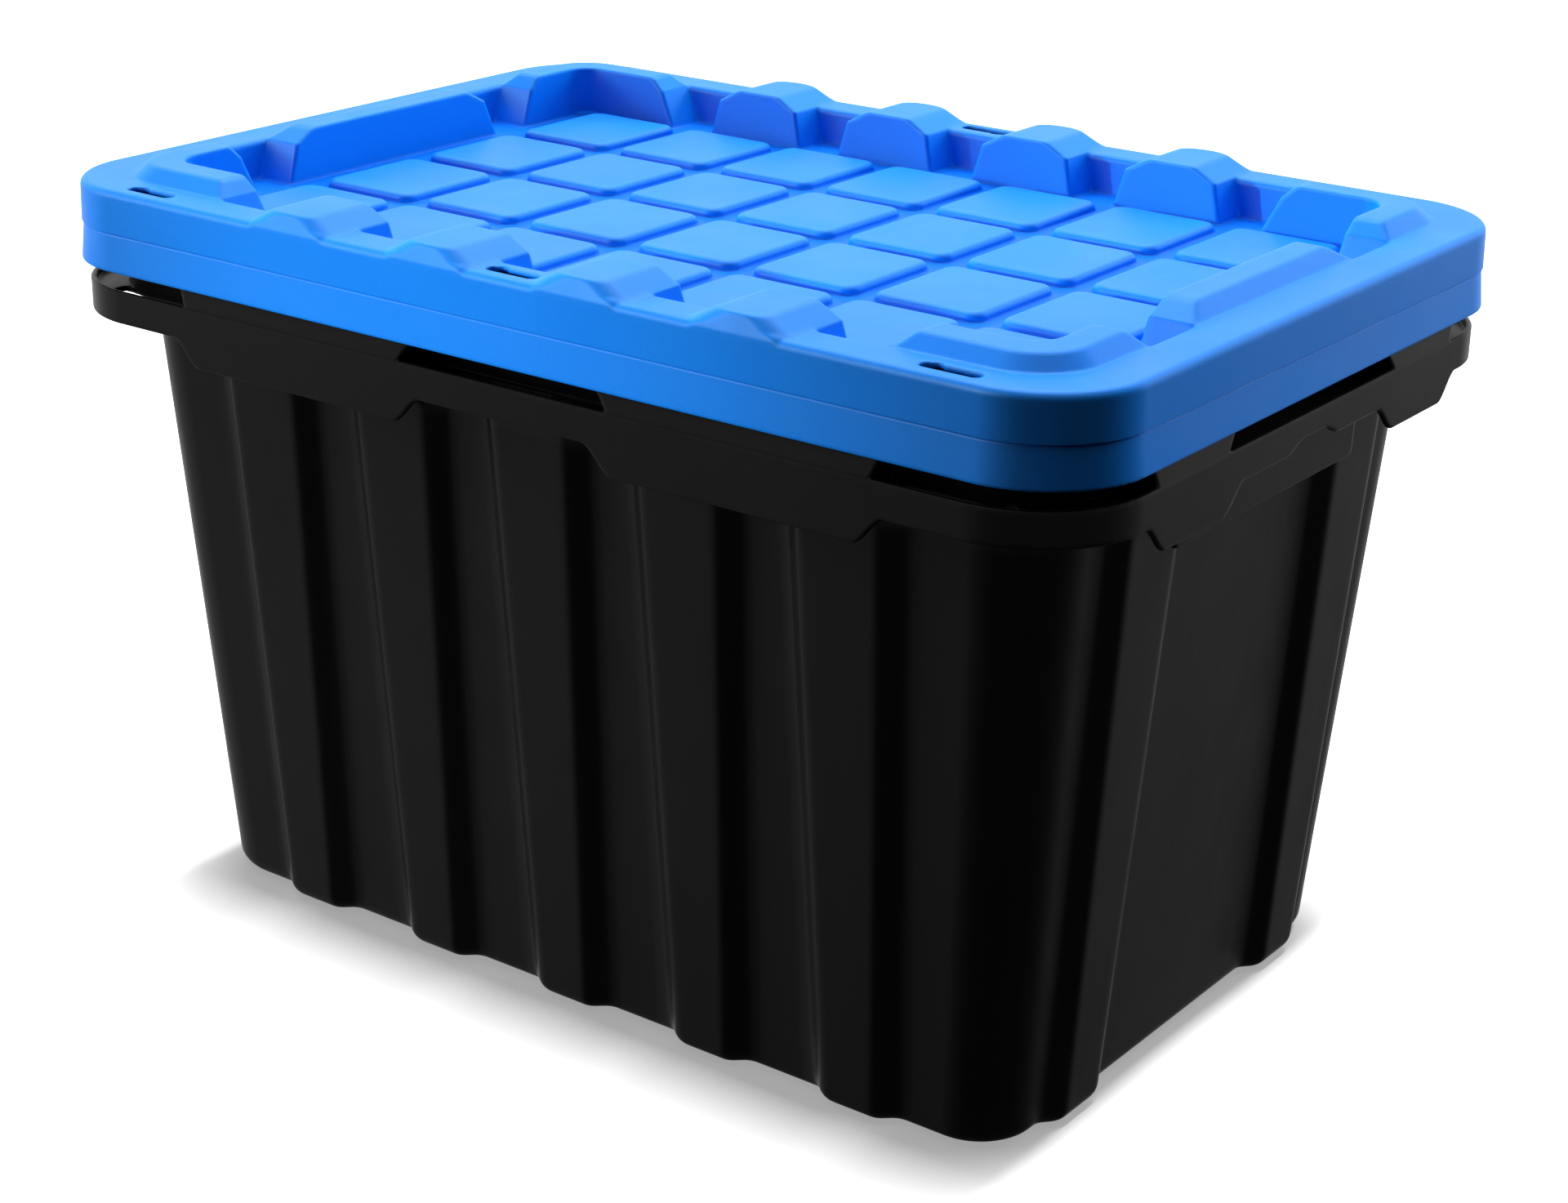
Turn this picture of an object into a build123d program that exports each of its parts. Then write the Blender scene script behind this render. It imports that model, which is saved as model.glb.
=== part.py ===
from build123d import *
import math
import os

# Snap-lid storage tote: one moulded tub and one moulded lid, shown closed.
# Millimetres, +Z up, long side along X, floor underside at z = 0, centred on X and Y.
# "Side" means the long walls at +-Y, "end" the short walls at +-X.
# A plan size is (half length X, half width Y, corner radius).

# ---------------- overall ----------------
LID_L, LID_W, LID_R = 550.0, 373.0, 45.5      # lid plan at the skirt step
LID = (LID_L / 2, LID_W / 2, LID_R)
Z_FLANGE = 345.4                     # top of the lid's flat border
Z_BOSS = 351.8                       # top of the raised lid blocks
LID_T = 2.5                          # lid wall
TUB_T = 2.5                          # tub wall
FLOOR_T = 3.0
FAR_X, FAR_Y = 400, 300              # cutter reach, beyond the tote
SLOT_X, SLOT_Y = 211.6, 175.5        # tie slots through lid border and rim top
SLOT_L, SLOT_W = 26.0, 6.0

# ---------------- tub walls ----------------
FOOT_X, FOOT_Y, FOOT_R = 227.35, 142.6, 27.1  # plan size of the wall at the floor
FOOT_ROUND = 9.0
DRAFT = 0.0688                       # outward lean of the walls, mm per mm
RADIUS_DRAFT = 0.3                   # share of the lean that the corner radius takes
RIB_D = 6.7                          # wall corrugation depth
RIB_RUN = 7.5                        # plan run of a corrugation flank
RIB_BASE_BOT, RIB_BASE_TOP = 20.9, 28.2       # half base width at floor and under the rim
RIB_PITCH = 78.4                     # side corrugation pitch
RIB_END = 87.8                       # end corrugation centres
# How much a half base narrows per mm of inset, so that inset flanks stay parallel
RIB_NARROWING = (math.hypot(RIB_D, RIB_RUN) - RIB_RUN) / RIB_D
Z_WALL = 294.0                       # wall meets the rim shelf
Z_SHELF = Z_WALL + 2.5               # top of rim shelf and pocket floors
PANEL_X = 255.0                      # hand-grip panel face on each end wall
PANEL_ROOT_X = 200                   # panel starts here, inside the tub
PANEL_TOP, PANEL_BOT = 80.0, 77.0    # panel half widths
Z_PANEL = 256.6
RECESS = (FOOT_X - 34, FOOT_Y - 34, 16)       # recess under the floor
RECESS_DEPTH = 0.8

# ---------------- tub rim ----------------
COLLAR_IN = (254.9, 168.2, 32.5)     # inside of the collar round the lid's panel
COLLAR_T = 2.3
BAND = (273.75, 186.2, 48.9)         # outer band
Z_LIP = 299.9                        # top of the band at the pockets
Z_BAND = 284.9                       # bottom of the band
Z_APRON = 273.1                      # bottom of the deeper aprons
Z_APRON_CUT = Z_APRON - 5            # underside of the apron cutters
APRON_CUT_OUT = 4                    # apron cutters run on this far past the apron bottom
APRON_SIDE = (45.5, 57.6, 178.4, 189.5)       # X: top in, bottom in, bottom out, top out
APRON_END = (59.5, 73.4, 120.1, 133.0)        # the same along Y
APRON_SPLIT_X, APRON_SPLIT_Y = 225, 140.0     # end cuts beyond X, side cuts beyond Y
Z_NOTCH = 289.3                      # top of the hand notch in the end band
NOTCH_BOT, NOTCH_TOP = 22.3, 12.0    # notch half widths
RAIL = (270.9, 182.4, 45.8)          # outer face of the rail under the lid skirt
Z_RIM = 342.8                        # rim top, just under the lid border
RIM_TOP_T = 2.5
RAIL_BEAD = 0.6                      # rail snap bead height
Z_RAIL_BEAD = (312.6, 313.4, 315.0)  # bead start, crest, end

# Pocket windows in the rail, each number pair at lip and at top
Z_WIN = 316.0
WIN_SINK = 3                         # windows are cut this far below the lip
WIN_SIDE = (56.1, 43.2)              # half width of the mid-side window
WIN_END = (71.2, 59.4)               # half width of the end window
WIN_CORNER_X = (183.8, 190.8)        # corner windows start beyond this X
WIN_CORNER_Y = (126.6, 132.8)        # and beyond this Y
POCKET_T = 2.2                       # pocket end walls
# Pocket floor openings: length, width, distance from the X axis
HOLE_MID = (36.0, 9.4, 177.2)
HOLE_CORNER = (54.0, 14.8, 176.4)
HOLE_CORNER_X = 213.0

# ---------------- lid ----------------
Z_STEP = 326.1                       # fine step between the skirt's two tiers
Z_SKIRT = 308.4                      # bottom of the skirt
STEP_IN = 0.7                        # lower tier sits inside the upper one
SKIRT_FLARE = 0.9                    # lower edge flares outside nominal
SKIRT_T = 2.2
SKIRT_IN = (SKIRT_FLARE - SKIRT_T)   # inner face at the skirt's bottom, relative to LID
LID_TOP_DRAFT = 0.45
LID_ROUND = 3.0                      # rounded top edge
SUNK = (251.4, 164.8, 28.8)          # sunken panel at the border
SUNK_DRAFT = 2.0
Z_GROOVE = 327.4                     # sunken floor between the pads
Z_PAD = 331.0                        # pad tops
PAD = (53.0 / 2, 60.4 / 2, 5.5)      # pad top
PAD_NX, PAD_NY = 7, 4
PAD_PX, PAD_PY = 62.83, 70.12        # pad pitch

# Raised blocks; levels run top, border, floor
SIDE_X = (39.7, 119.1)               # centres of the side blocks
SIDE_HALF = (12.3, 24.0, 28.5)       # their half widths
SIDE_IN = (146.8, 146.8 - 0.6, 146.8 - 2.5)   # their inner edges
SIDE_TOP_OUT = 183.1                 # their outer top edge
SIDE_FOOT_OUT = LID_W / 2 - 0.6      # their outer edge at the border
RING_OUT = (244.7, 159.8, 22.5)      # outer top edge of corner and end blocks
RING_IN = (231.3, 143.9, 13.0)       # inner top edge of corner and end blocks
RING_IN_DRAFT = 2.0
CORNER_X = (185.2, 178.0, 169.0)     # where corner blocks stop along X
CORNER_Y = (108.3, 101.8, 94.0)      # the same along Y
END_Y = (54.7, 66.5, 73.0)           # half length of the end block
# Inset, bottom and top of a block's outside and of the hollow beneath it
BLOCK_SOLID = (0, Z_GROOVE - 0.5, Z_BOSS)
BLOCK_HOLLOW = (LID_T, Z_GROOVE - 6, Z_BOSS - LID_T)


# =====================================================================
# shared helpers
# =====================================================================
def add(body, shapes):
    for shape in shapes:
        body = body + shape
    return body


def cut(body, shapes):
    for shape in shapes:
        body = body - shape
    return body


def fuse(shapes):
    return add(shapes[0], shapes[1:])


def both_ends(shape):
    return [shape, mirror(shape, Plane.YZ)]


def both_sides(shape):
    return [shape, mirror(shape, Plane.XZ)]


def four(shape):
    return both_ends(shape) + [mirror(s, Plane.XZ) for s in both_ends(shape)]


def grow(size, x, y=None, r=None):
    """Plan size enlarged by x; y and r follow x unless given."""
    y = x if y is None else y
    r = x if r is None else r
    return (size[0] + x, size[1] + y, size[2] + r)


def rounded(size, z):
    half_x, half_y, radius = size
    return Pos(0, 0, z) * RectangleRounded(2 * half_x, 2 * half_y, radius)


def rectangle(bounds, z):
    x0, x1, y0, y1 = bounds
    return Pos((x0 + x1) / 2, (y0 + y1) / 2, z) * Rectangle(x1 - x0, y1 - y0)


def stack(section, *levels):
    """Ruled lofts between neighbouring levels, fused; each level is the section's arguments."""
    return fuse([loft([section(*low), section(*high)], ruled=True)
                 for low, high in zip(levels, levels[1:])])


def upright(size, z0, z1):
    return stack(rounded, (size, z0), (size, z1))


def box(x0, x1, y0, y1, z0, z1):
    centre = Pos((x0 + x1) / 2, (y0 + y1) / 2, (z0 + z1) / 2)
    return centre * Box(x1 - x0, y1 - y0, z1 - z0)


def xz_prism(points, y0, y1):
    face = make_face(Polyline(*[(x, 0, z) for x, z in points], close=True))
    return Pos(0, y0, 0) * extrude(face, amount=y1 - y0, dir=(0, 1, 0))


def yz_prism(points, x0, x1):
    face = make_face(Polyline(*[(0, y, z) for y, z in points], close=True))
    return Pos(x0, 0, 0) * extrude(face, amount=x1 - x0, dir=(1, 0, 0))


def tie_slot(x, y, z, reach):
    return Pos(x, y, z) * extrude(SlotOverall(SLOT_L, SLOT_W), amount=reach, both=True)


# =====================================================================
# tub
# =====================================================================
def wall_outline(z, inset):
    """Closed outline of the corrugated wall at height z, moved inward by inset."""
    half_x = FOOT_X + DRAFT * z - inset
    half_y = FOOT_Y + DRAFT * z - inset
    radius = max(FOOT_R + RADIUS_DRAFT * DRAFT * z - inset * 0.6, 4.0)
    base = (RIB_BASE_BOT + (RIB_BASE_TOP - RIB_BASE_BOT) * z / Z_WALL
            - RIB_NARROWING * inset)
    crest = base - RIB_RUN
    sagitta = radius * (1 - math.sqrt(0.5))   # corner arc midpoint, in from each face

    def ribs(centres, wall):
        points = []
        for c in centres:
            points += [(c - base, wall), (c - crest, wall + RIB_D),
                       (c + crest, wall + RIB_D), (c + base, wall)]
        return points

    side = [(u, -v) for u, v in ribs([n * RIB_PITCH for n in (-2, -1, 0, 1, 2)], half_y)]
    end = [(v, u) for u, v in ribs([-RIB_END, RIB_END], half_x)]
    side = [(-half_x + radius, -half_y)] + side + [(half_x - radius, -half_y)]
    end = [(half_x, -half_y + radius)] + end + [(half_x, half_y - radius)]
    mid_x, mid_y = half_x - sagitta, half_y - sagitta

    # Counter-clockwise: the -Y side and +X end, then the same turned by 180 degrees
    edges = []
    for turn in (1, -1):
        def place(point):
            return (turn * point[0], turn * point[1], z)

        next_side_start = (half_x - radius, half_y)
        for chain, middle, stop in ((side, (mid_x, -mid_y), end[0]),
                                    (end, (mid_x, mid_y), next_side_start)):
            edges += [Line(place(a), place(b)) for a, b in zip(chain, chain[1:])]
            edges.append(ThreePointArc(place(chain[-1]), place(middle), place(stop)))
    return make_face(Wire(edges))


def tub_outside():
    walls = stack(wall_outline,
                  (0.0, FOOT_ROUND * 0.75),
                  (FOOT_ROUND * 0.28, FOOT_ROUND * 0.28),
                  (FOOT_ROUND, 0.0),
                  (Z_SHELF, 0.0))
    chamfer_y, chamfer_z = 5, 3.5
    panel = yz_prism([(-PANEL_BOT + chamfer_y, Z_PANEL), (PANEL_BOT - chamfer_y, Z_PANEL),
                      (PANEL_BOT, Z_PANEL + chamfer_z), (PANEL_TOP, Z_WALL),
                      (-PANEL_TOP, Z_WALL), (-PANEL_BOT, Z_PANEL + chamfer_z)],
                     PANEL_ROOT_X, PANEL_X)
    return add(walls, both_ends(panel))


def tub_inside():
    walls = stack(wall_outline,
                  (FLOOR_T, TUB_T + FOOT_ROUND * 0.62),
                  (FLOOR_T + FOOT_ROUND * 0.28, TUB_T + FOOT_ROUND * 0.24),
                  (FLOOR_T + FOOT_ROUND, TUB_T),
                  (Z_SHELF + 1.0, TUB_T))
    bottom, top = PANEL_BOT - TUB_T, PANEL_TOP - TUB_T
    niche = yz_prism([(-bottom, Z_PANEL + TUB_T), (bottom, Z_PANEL + TUB_T),
                      (top, Z_WALL), (-top, Z_WALL)],
                     PANEL_ROOT_X, PANEL_X - TUB_T)
    return add(walls, both_ends(niche))


def apron_gaps(apron, far, notch=()):
    """Outlines cut away between the aprons, and from an apron outward to far."""
    top_in, bottom_in, bottom_out, top_out = apron
    low_in = bottom_in + APRON_CUT_OUT
    between = [(-top_in, Z_BAND), *notch, (top_in, Z_BAND), (bottom_in, Z_APRON),
               (low_in, Z_APRON_CUT), (-low_in, Z_APRON_CUT), (-bottom_in, Z_APRON)]
    beyond = [(top_out, Z_BAND), (far, Z_BAND), (far, Z_APRON_CUT),
              (bottom_out - APRON_CUT_OUT, Z_APRON_CUT), (bottom_out, Z_APRON)]
    return between, beyond


def outer_band():
    """Band round the rim with two deeper aprons on every wall."""
    band = (upright(BAND, Z_APRON, Z_LIP)
            - upright(grow(BAND, -TUB_T), Z_APRON - 1, Z_LIP + 1))

    between, beyond = apron_gaps(APRON_SIDE, FAR_X)
    side_cut = add(xz_prism(between, -FAR_Y, FAR_Y),
                   both_ends(xz_prism(beyond, -FAR_Y, FAR_Y)))
    side_zone = fuse(both_sides(
        box(-FAR_X, FAR_X, APRON_SPLIT_Y, FAR_Y, Z_APRON_CUT, Z_RIM)))

    notch = [(-NOTCH_BOT, Z_BAND), (-NOTCH_TOP, Z_NOTCH),
             (NOTCH_TOP, Z_NOTCH), (NOTCH_BOT, Z_BAND)]
    between, beyond = apron_gaps(APRON_END, APRON_SPLIT_Y, notch)
    end_cut = add(yz_prism(between, -FAR_X, FAR_X),
                  both_sides(yz_prism(beyond, -FAR_X, FAR_X)))
    end_zone = fuse(both_ends(
        box(APRON_SPLIT_X, FAR_X, -APRON_SPLIT_Y, APRON_SPLIT_Y, Z_APRON_CUT, Z_RIM)))
    return band - (side_cut & side_zone) - (end_cut & end_zone)


def below_lip(at_lip, at_top):
    """A window edge carried on in a straight line to the bottom of its cutter."""
    return at_lip + (at_lip - at_top) * WIN_SINK / (Z_WIN - Z_LIP)


def window(low_bounds, high_bounds):
    return stack(rectangle, (low_bounds, Z_LIP - WIN_SINK), (high_bounds, Z_WIN))


def skirt_rail():
    """Rail leaning in above the band, then upright under the lid skirt."""
    outside = stack(rounded,
                    (grow(BAND, -0.5, -0.6, -0.5), Z_LIP - 1.0),
                    (grow(BAND, -1.4, -2.2, -1.4), Z_SKIRT - 0.6),
                    (RAIL, Z_SKIRT + 1.8),
                    (RAIL, Z_RIM))
    z_start, z_crest, z_end = Z_RAIL_BEAD
    bead = stack(rounded, (RAIL, z_start), (grow(RAIL, RAIL_BEAD), z_crest), (RAIL, z_end))
    rail = (outside + bead) - upright(grow(RAIL, -TUB_T), Z_LIP - 2.0, Z_RIM + 1)

    side_root, end_root = 172, 258   # windows start inside the rail
    low, top = below_lip(*WIN_SIDE), WIN_SIDE[1]
    rail = cut(rail, both_sides(window((-low, low, side_root, FAR_Y),
                                       (-top, top, side_root, FAR_Y))))
    low, top = below_lip(*WIN_END), WIN_END[1]
    rail = cut(rail, both_ends(window((end_root, FAR_X, -low, low),
                                      (end_root, FAR_X, -top, top))))
    low_x, low_y = below_lip(*WIN_CORNER_X), below_lip(*WIN_CORNER_Y)
    return cut(rail, four(window((low_x, FAR_X, low_y, FAR_Y),
                                 (WIN_CORNER_X[1], FAR_X, WIN_CORNER_Y[1], FAR_Y))))


def pockets():
    """Pocket floors and end walls, trimmed to the space between collar and rail."""
    side, end = WIN_SIDE[0], WIN_END[0]
    corner_x, corner_y = WIN_CORNER_X[0], WIN_CORNER_Y[0]
    t = POCKET_T
    mid_floor = box(-side - t, side + t, 0, FAR_Y, Z_WALL, Z_SHELF)
    end_floor = box(0, FAR_X, -end - t, end + t, Z_WALL, Z_SHELF)
    corner_floor = box(corner_x - t, FAR_X, corner_y - t, FAR_Y, Z_WALL, Z_SHELF)
    floors = fuse(both_sides(mid_floor) + both_ends(end_floor) + four(corner_floor))
    side_root, end_root = 150, 230   # walls start inside the collar
    walls = fuse([box(side, side + t, side_root, FAR_Y, Z_BAND, Z_RIM),
                  box(corner_x - t, corner_x, side_root, FAR_Y, Z_BAND, Z_RIM),
                  box(end_root, FAR_X, end, end + t, Z_BAND, Z_RIM),
                  box(end_root, FAR_X, corner_y - t, corner_y, Z_BAND, Z_RIM)])
    ring = (upright(grow(BAND, -1), Z_BAND, Z_LIP - 1)
            + upright(grow(RAIL, -1), Z_LIP - 1, Z_RIM - 1)
            - upright(grow(COLLAR_IN, 1), Z_BAND - 1, Z_RIM + 1))
    return (floors + fuse(four(walls))) & ring


def make_tub():
    collar_out = grow(COLLAR_IN, COLLAR_T)
    tub = (tub_outside() + upright(collar_out, Z_WALL, Z_SHELF)) - tub_inside()
    tub = tub + (upright(collar_out, Z_WALL, Z_RIM)
                 - upright(COLLAR_IN, Z_WALL - 1, Z_RIM + 1))
    z_top_ring = Z_RIM - RIM_TOP_T
    top_ring = (upright(grow(RAIL, -1), z_top_ring, Z_RIM)
                - upright(grow(COLLAR_IN, 1), z_top_ring - 1, Z_RIM + 1))
    rim = outer_band() + skirt_rail() + top_ring
    tub = tub + (rim + pockets())

    # Slots through the rim top, longer openings through the pocket floors
    for slot_x, hole_x, hole in ((-SLOT_X, -HOLE_CORNER_X, HOLE_CORNER),
                                 (0.0, 0.0, HOLE_MID),
                                 (SLOT_X, HOLE_CORNER_X, HOLE_CORNER)):
        length, width, hole_y = hole
        for side in (-1, 1):
            tub = tub - tie_slot(slot_x, side * SLOT_Y, Z_RIM, 6)
            opening = extrude(RectangleRounded(length, width, 2.0), amount=4, both=True)
            tub = tub - Pos(hole_x, side * hole_y, Z_SHELF - 1.2) * opening

    # Shallow recess under the floor leaves a perimeter foot
    return tub - upright(RECESS, -1, RECESS_DEPTH)


# =====================================================================
# lid
# =====================================================================
def lid_shell():
    """Two-tier skirt, flat border and sunken panel."""
    upper = stack(rounded, (LID, Z_STEP), (grow(LID, -LID_TOP_DRAFT), Z_FLANGE))
    upper = fillet(upper.edges().group_by(Axis.Z)[-1], LID_ROUND)
    lower = stack(rounded, (grow(LID, SKIRT_FLARE), Z_SKIRT), (grow(LID, -STEP_IN), Z_STEP))
    shell = upper + lower
    shell = shell - stack(rounded, (grow(SUNK, -SUNK_DRAFT, r=-1), Z_GROOVE),
                          (SUNK, Z_FLANGE))
    # Hollow between the skirt and the underside of the sunken panel
    top_in = -LID_TOP_DRAFT - SKIRT_T
    cavity = stack(rounded,
                   (grow(LID, SKIRT_IN), Z_SKIRT - 0.001),
                   (grow(LID, top_in - 0.3, r=top_in), Z_FLANGE - LID_T))
    pan = stack(rounded,
                (grow(SUNK, -SUNK_DRAFT + LID_T - 0.1, r=1.4), Z_GROOVE - LID_T),
                (grow(SUNK, LID_T - 0.3), Z_FLANGE - LID_T + 0.5))
    return shell - (cavity - pan)


def add_pads(lid):
    """Grid of raised pads, hollow underneath."""
    places = [Pos((i - (PAD_NX - 1) / 2) * PAD_PX, (j - (PAD_NY - 1) / 2) * PAD_PY, 0)
              for i in range(PAD_NX) for j in range(PAD_NY)]
    pad = stack(rounded, (grow(PAD, 1.2, r=1.0), Z_GROOVE - 0.5), (PAD, Z_PAD))
    hollow = stack(rounded,
                   (grow(PAD, -1.3, r=-1.0), Z_GROOVE - LID_T - 0.5),
                   (grow(PAD, -2.1, r=-1.8), Z_PAD - LID_T))
    lid = lid + fuse([place * pad for place in places])
    return cut(lid, [place * hollow for place in places])


def block_ring(inset, z_low, z_top):
    """Ring between the panel wall and the inner faces of the corner and end blocks."""
    outside = stack(rounded,
                    (grow(SUNK, 2 - inset), z_low),
                    (grow(SUNK, -inset), Z_FLANGE),
                    (grow(RING_OUT, -inset), z_top))
    return outside - stack(rounded,
                           (grow(RING_IN, inset - RING_IN_DRAFT, r=inset), z_low - 1),
                           (grow(RING_IN, inset), z_top + 1))


def corner_block(inset, z_low, z_top):
    top, border, floor = [(x + inset, 300, y + inset, 300)
                          for x, y in zip(CORNER_X, CORNER_Y)]
    clip = stack(rectangle, (floor, z_low), (border, Z_FLANGE), (top, z_top))
    return block_ring(inset, z_low, z_top) & clip


def end_block(inset, z_low, z_top):
    top, border, floor = [(200, 300, -y + inset, y - inset) for y in END_Y]
    clip = stack(rectangle, (floor, z_low), (border, Z_FLANGE), (top, z_top))
    return block_ring(inset, z_low, z_top) & clip


def side_block(centre, inset, z_low, z_top):
    def bounds(half, inner, outer):
        half = half - inset
        return (centre - half, centre + half, inner + inset, outer - inset)

    panel_edge = SUNK[1] + 1.0       # the part below the border stops here
    lower = stack(rectangle,
                  (bounds(SIDE_HALF[2], SIDE_IN[2], panel_edge), z_low),
                  (bounds(SIDE_HALF[1], SIDE_IN[1], panel_edge), Z_FLANGE))
    upper = stack(rectangle,
                  (bounds(SIDE_HALF[1], SIDE_IN[1], SIDE_FOOT_OUT), Z_FLANGE - 1.5),
                  (bounds(SIDE_HALF[0], SIDE_IN[0], SIDE_TOP_OUT), z_top))
    return lower + upper


def add_blocks(lid):
    """Raised blocks: closed on top, hollow underneath."""
    lid = add(lid, four(corner_block(*BLOCK_SOLID)))
    lid = add(lid, both_ends(end_block(*BLOCK_SOLID)))
    lid = cut(lid, four(corner_block(*BLOCK_HOLLOW)))
    lid = cut(lid, both_ends(end_block(*BLOCK_HOLLOW)))
    for centre in (-SIDE_X[1], -SIDE_X[0], SIDE_X[0], SIDE_X[1]):
        lid = add(lid, both_sides(side_block(centre, *BLOCK_SOLID)))
        lid = cut(lid, both_sides(side_block(centre, *BLOCK_HOLLOW)))
    return lid


def skirt_bead():
    """Inward snap bead near the skirt's bottom edge."""
    face = grow(LID, SKIRT_IN)
    root, crest = grow(face, -0.2), grow(face, -0.7)
    z_crest = 310.3
    return (upright(grow(face, 0.6), 309.2, 311.4)
            - stack(rounded, (root, 309.1), (crest, z_crest))
            - stack(rounded, (crest, z_crest), (root, 311.5)))


def make_lid():
    lid = add_blocks(add_pads(lid_shell()))
    for x in (-SLOT_X, 0.0, SLOT_X):
        for y in (-SLOT_Y, SLOT_Y):
            lid = lid - tie_slot(x, y, Z_FLANGE, 5)
    return lid + skirt_bead()


os.makedirs("parts", exist_ok=True)
for name, shape in {"tote_body": make_tub(), "snap_lid": make_lid()}.items():
    shape.label = name
    export_step(shape, f"parts/{name}.step")
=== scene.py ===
"""Storage tote with corrugated black walls and a blue lid, on a pale studio floor.

The tote stands on the floor at z = 0, centred on the Z axis, its long sides along X.
Shapes are worked out in millimetres and become metres when the meshes are made.
"""
import math

import bpy
import numpy as np
from mathutils import Matrix, Vector


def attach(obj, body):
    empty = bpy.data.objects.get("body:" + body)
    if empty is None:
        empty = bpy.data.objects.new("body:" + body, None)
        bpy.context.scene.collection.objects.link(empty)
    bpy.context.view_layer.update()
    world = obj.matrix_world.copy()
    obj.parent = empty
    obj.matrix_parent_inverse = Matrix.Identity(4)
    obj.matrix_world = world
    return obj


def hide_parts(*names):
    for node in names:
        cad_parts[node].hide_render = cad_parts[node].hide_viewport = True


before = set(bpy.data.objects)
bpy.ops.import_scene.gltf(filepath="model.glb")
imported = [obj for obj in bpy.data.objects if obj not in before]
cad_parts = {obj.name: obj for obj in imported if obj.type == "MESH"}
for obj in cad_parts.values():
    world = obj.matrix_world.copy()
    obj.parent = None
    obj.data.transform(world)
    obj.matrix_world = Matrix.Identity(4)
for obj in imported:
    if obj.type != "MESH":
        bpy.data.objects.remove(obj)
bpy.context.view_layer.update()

# ------------------------------------------------------------------
# driving sizes, mm
# a plan outline is (half length in X, half width in Y, corner radius)
# ------------------------------------------------------------------
# lid
LID = (275.0, 186.5, 45.5)
LID_WALL = 2.4
Z_SKIRT, Z_STEP, Z_FACE = 308.4, 326.1, 345.4    # bottom edge, step in the side, top face
Z_GROOVE, Z_PAD, Z_BLOCK = 327.4, 331.0, 351.8   # recess floor, pad tops, block tops
RECESS_X, RECESS_Y, RECESS_R = 251.4, 164.8, 28.8
RECESS_DEPTH = Z_FACE - Z_GROOVE
PAD = (26.5, 30.2, 6.5)
PAD_PITCH_X, PAD_PITCH_Y = 62.83, 70.12
# slots through lid and rim, at x = 0 and +-SLOT_X on both long sides
SLOT_X, SLOT_Y, SLOT_BOTTOM = 211.6, 175.5, 335.0
# tote wall, measured at z = 0 and widening upward
FOOT_X, FOOT_Y, FOOT_R, DRAFT = 227.35, 142.6, 27.1, 0.0688
WALL, FLOOR_TOP = 2.5, 3.0
# corrugation ribs: depth, run of one flank, half base width at z = 0 and at the shelf
RIB_DEPTH, RIB_RUN, RIB_BASE_LOW, RIB_BASE_TOP = 6.7, 7.5, 20.9, 28.2
RIB_PITCH, END_RIB_Y = 78.4, 87.8
RIB_FLANK = math.hypot(RIB_DEPTH, RIB_RUN)
RIB_TRIM = (RIB_FLANK - RIB_RUN) / RIB_DEPTH     # base width lost per mm of inset
# tote rim
BAND = (273.75, 186.2, 48.9)
MOUTH = (254.9, 168.2, 32.5)
MOUTH_WALL = 2.3
Z_SHELF_LOW, Z_SHELF = 294.0, 296.5
Z_BAND_LOW, Z_BAND, Z_RIM = 284.9, 299.9, 342.8


# ------------------------------------------------------------------
# distance fields: negative inside, mm
# ------------------------------------------------------------------
def rounded_rect(x, y, half_x, half_y, radius):
    qx = np.abs(x) - half_x + radius
    qy = np.abs(y) - half_y + radius
    outside = np.hypot(np.maximum(qx, 0), np.maximum(qy, 0))
    return outside + np.minimum(np.maximum(qx, qy), 0) - radius


def grown(outline, by):
    return [size + by for size in outline]


def join(a, b, radius):
    """Union with a round fillet."""
    return (np.maximum(radius, np.minimum(a, b))
            - np.hypot(np.maximum(radius - a, 0), np.maximum(radius - b, 0)))


def meet(a, b, radius):
    """Intersection with a rounded edge."""
    return (np.minimum(-radius, np.maximum(a, b))
            + np.hypot(np.maximum(radius + a, 0), np.maximum(radius + b, 0)))


def smoothstep(start, end, value):
    t = np.clip((value - start) / (end - start), 0, 1)
    return t * t * (3 - 2 * t)


def bead(outline, z, height, radius):
    """Thin round bead running along an outline."""
    return np.hypot(np.minimum(outline, 3.0), z - height) - radius


# ------------------------------------------------------------------
# lid
# ------------------------------------------------------------------
# side offsets: inset under the step, seam above it, flare to the bottom edge, lean to the face
UNDER_STEP, SEAM, SKIRT_FLARE, TOP_LEAN = 0.85, 0.55, 1.75, 0.45
STEP_HEIGHT, SEAM_FADE = 0.20, 0.9
RECESS_LEAN, PAD_LEAN = 2.0, 0.22

# raised blocks: limits at the recess floor, the face and the block tops
BLOCK_Z = (Z_GROOVE, Z_FACE, Z_BLOCK)
CORNER_FROM_X = (169.0, 178.0, 185.2)
CORNER_FROM_Y = (94.0, 101.8, 108.3)
END_HALF_Y = (73.0, 66.5, 54.7)
SIDE_HALF_X = (28.5, 24.0, 12.3)
# plan to true distance on a leaning flank: factor below the face, drop of it above the face
CORNER_SLOPE_X, CORNER_SLOPE_Y = (0.89, 0.23), (0.92, 0.22)
END_SLOPE, SIDE_SLOPE = (0.94, 0.46), (0.97, 0.49)
BLOCK_INNER = (231.3, 143.9, 13.0)
BLOCK_INNER_LEAN = 0.09
RING_GAP, RING_LEAN, RING_SLOPE = 0.3, 1.047, 0.70     # outer face of corner and end blocks
END_FROM_X = 205.0
SIDE_BLOCK_X = 39.7                                    # centres at 1 and 3 times this
SIDE_INNER_Y, SIDE_OUTER_Y, SIDE_OUTER_LEAN, SIDE_OUTER_SLOPE = 146.8, 183.3, 0.36, 0.94

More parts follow.
